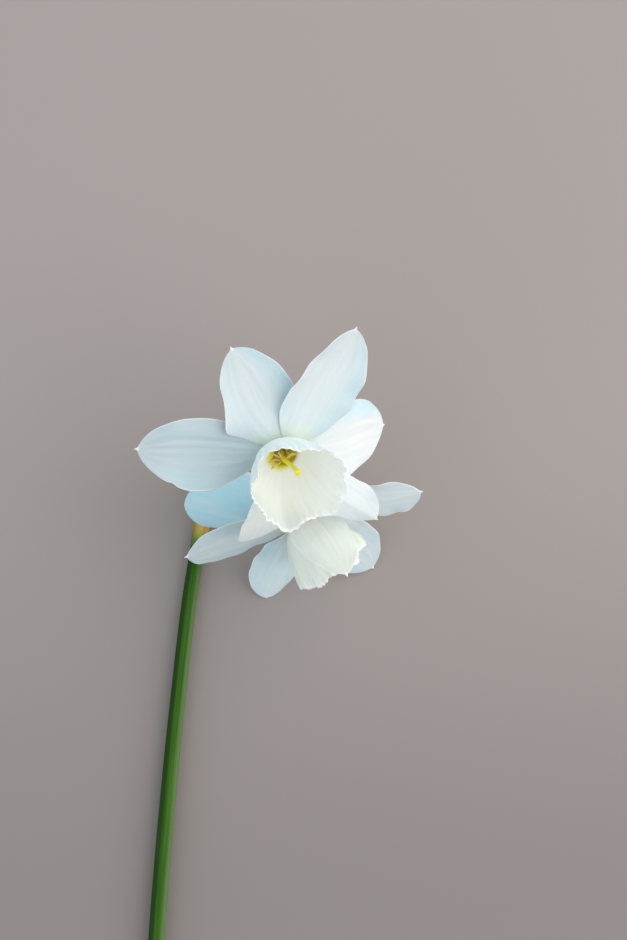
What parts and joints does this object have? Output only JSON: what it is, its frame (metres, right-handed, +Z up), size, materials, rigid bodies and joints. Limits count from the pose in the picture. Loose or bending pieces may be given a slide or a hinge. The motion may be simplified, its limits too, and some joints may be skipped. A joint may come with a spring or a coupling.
{
  "type": "narcissus flower",
  "caption": "Cut narcissus stem lying down, with nodding white blooms, pleated ivory cups and golden stamens.",
  "frame": {"origin": "on the surface that it lies on, under the middle of the part's box", "axes": "+Y along the stem towards the blooms, +Z up from the surface, the blooms facing up and towards -Y"},
  "size_m": [0.0753, 0.2674, 0.0818],
  "materials": {
    "stem": "fresh green stem, satin",
    "sheath": "papery brown sheath",
    "stalk": "fresh light green, satin",
    "tepal": "thin white petal, satin, finely veined",
    "cup": "thin ivory petal, satin, pleated",
    "stamen": "golden, dusty with pollen",
    "pistil": "moist yellow-green"
  },
  "bodies": {
    "root": {"scape": "stem", "spathe": "sheath", "pedicel_front": "stalk", "perianth_front": "tepal", "corona_front": "cup", "stamens_front": "stamen", "pistil_front": "pistil", "pedicel_back": "stalk", "perianth_back": "tepal", "corona_back": "cup", "stamens_back": "stamen", "pistil_back": "pistil"}
  },
  "joints": []
}
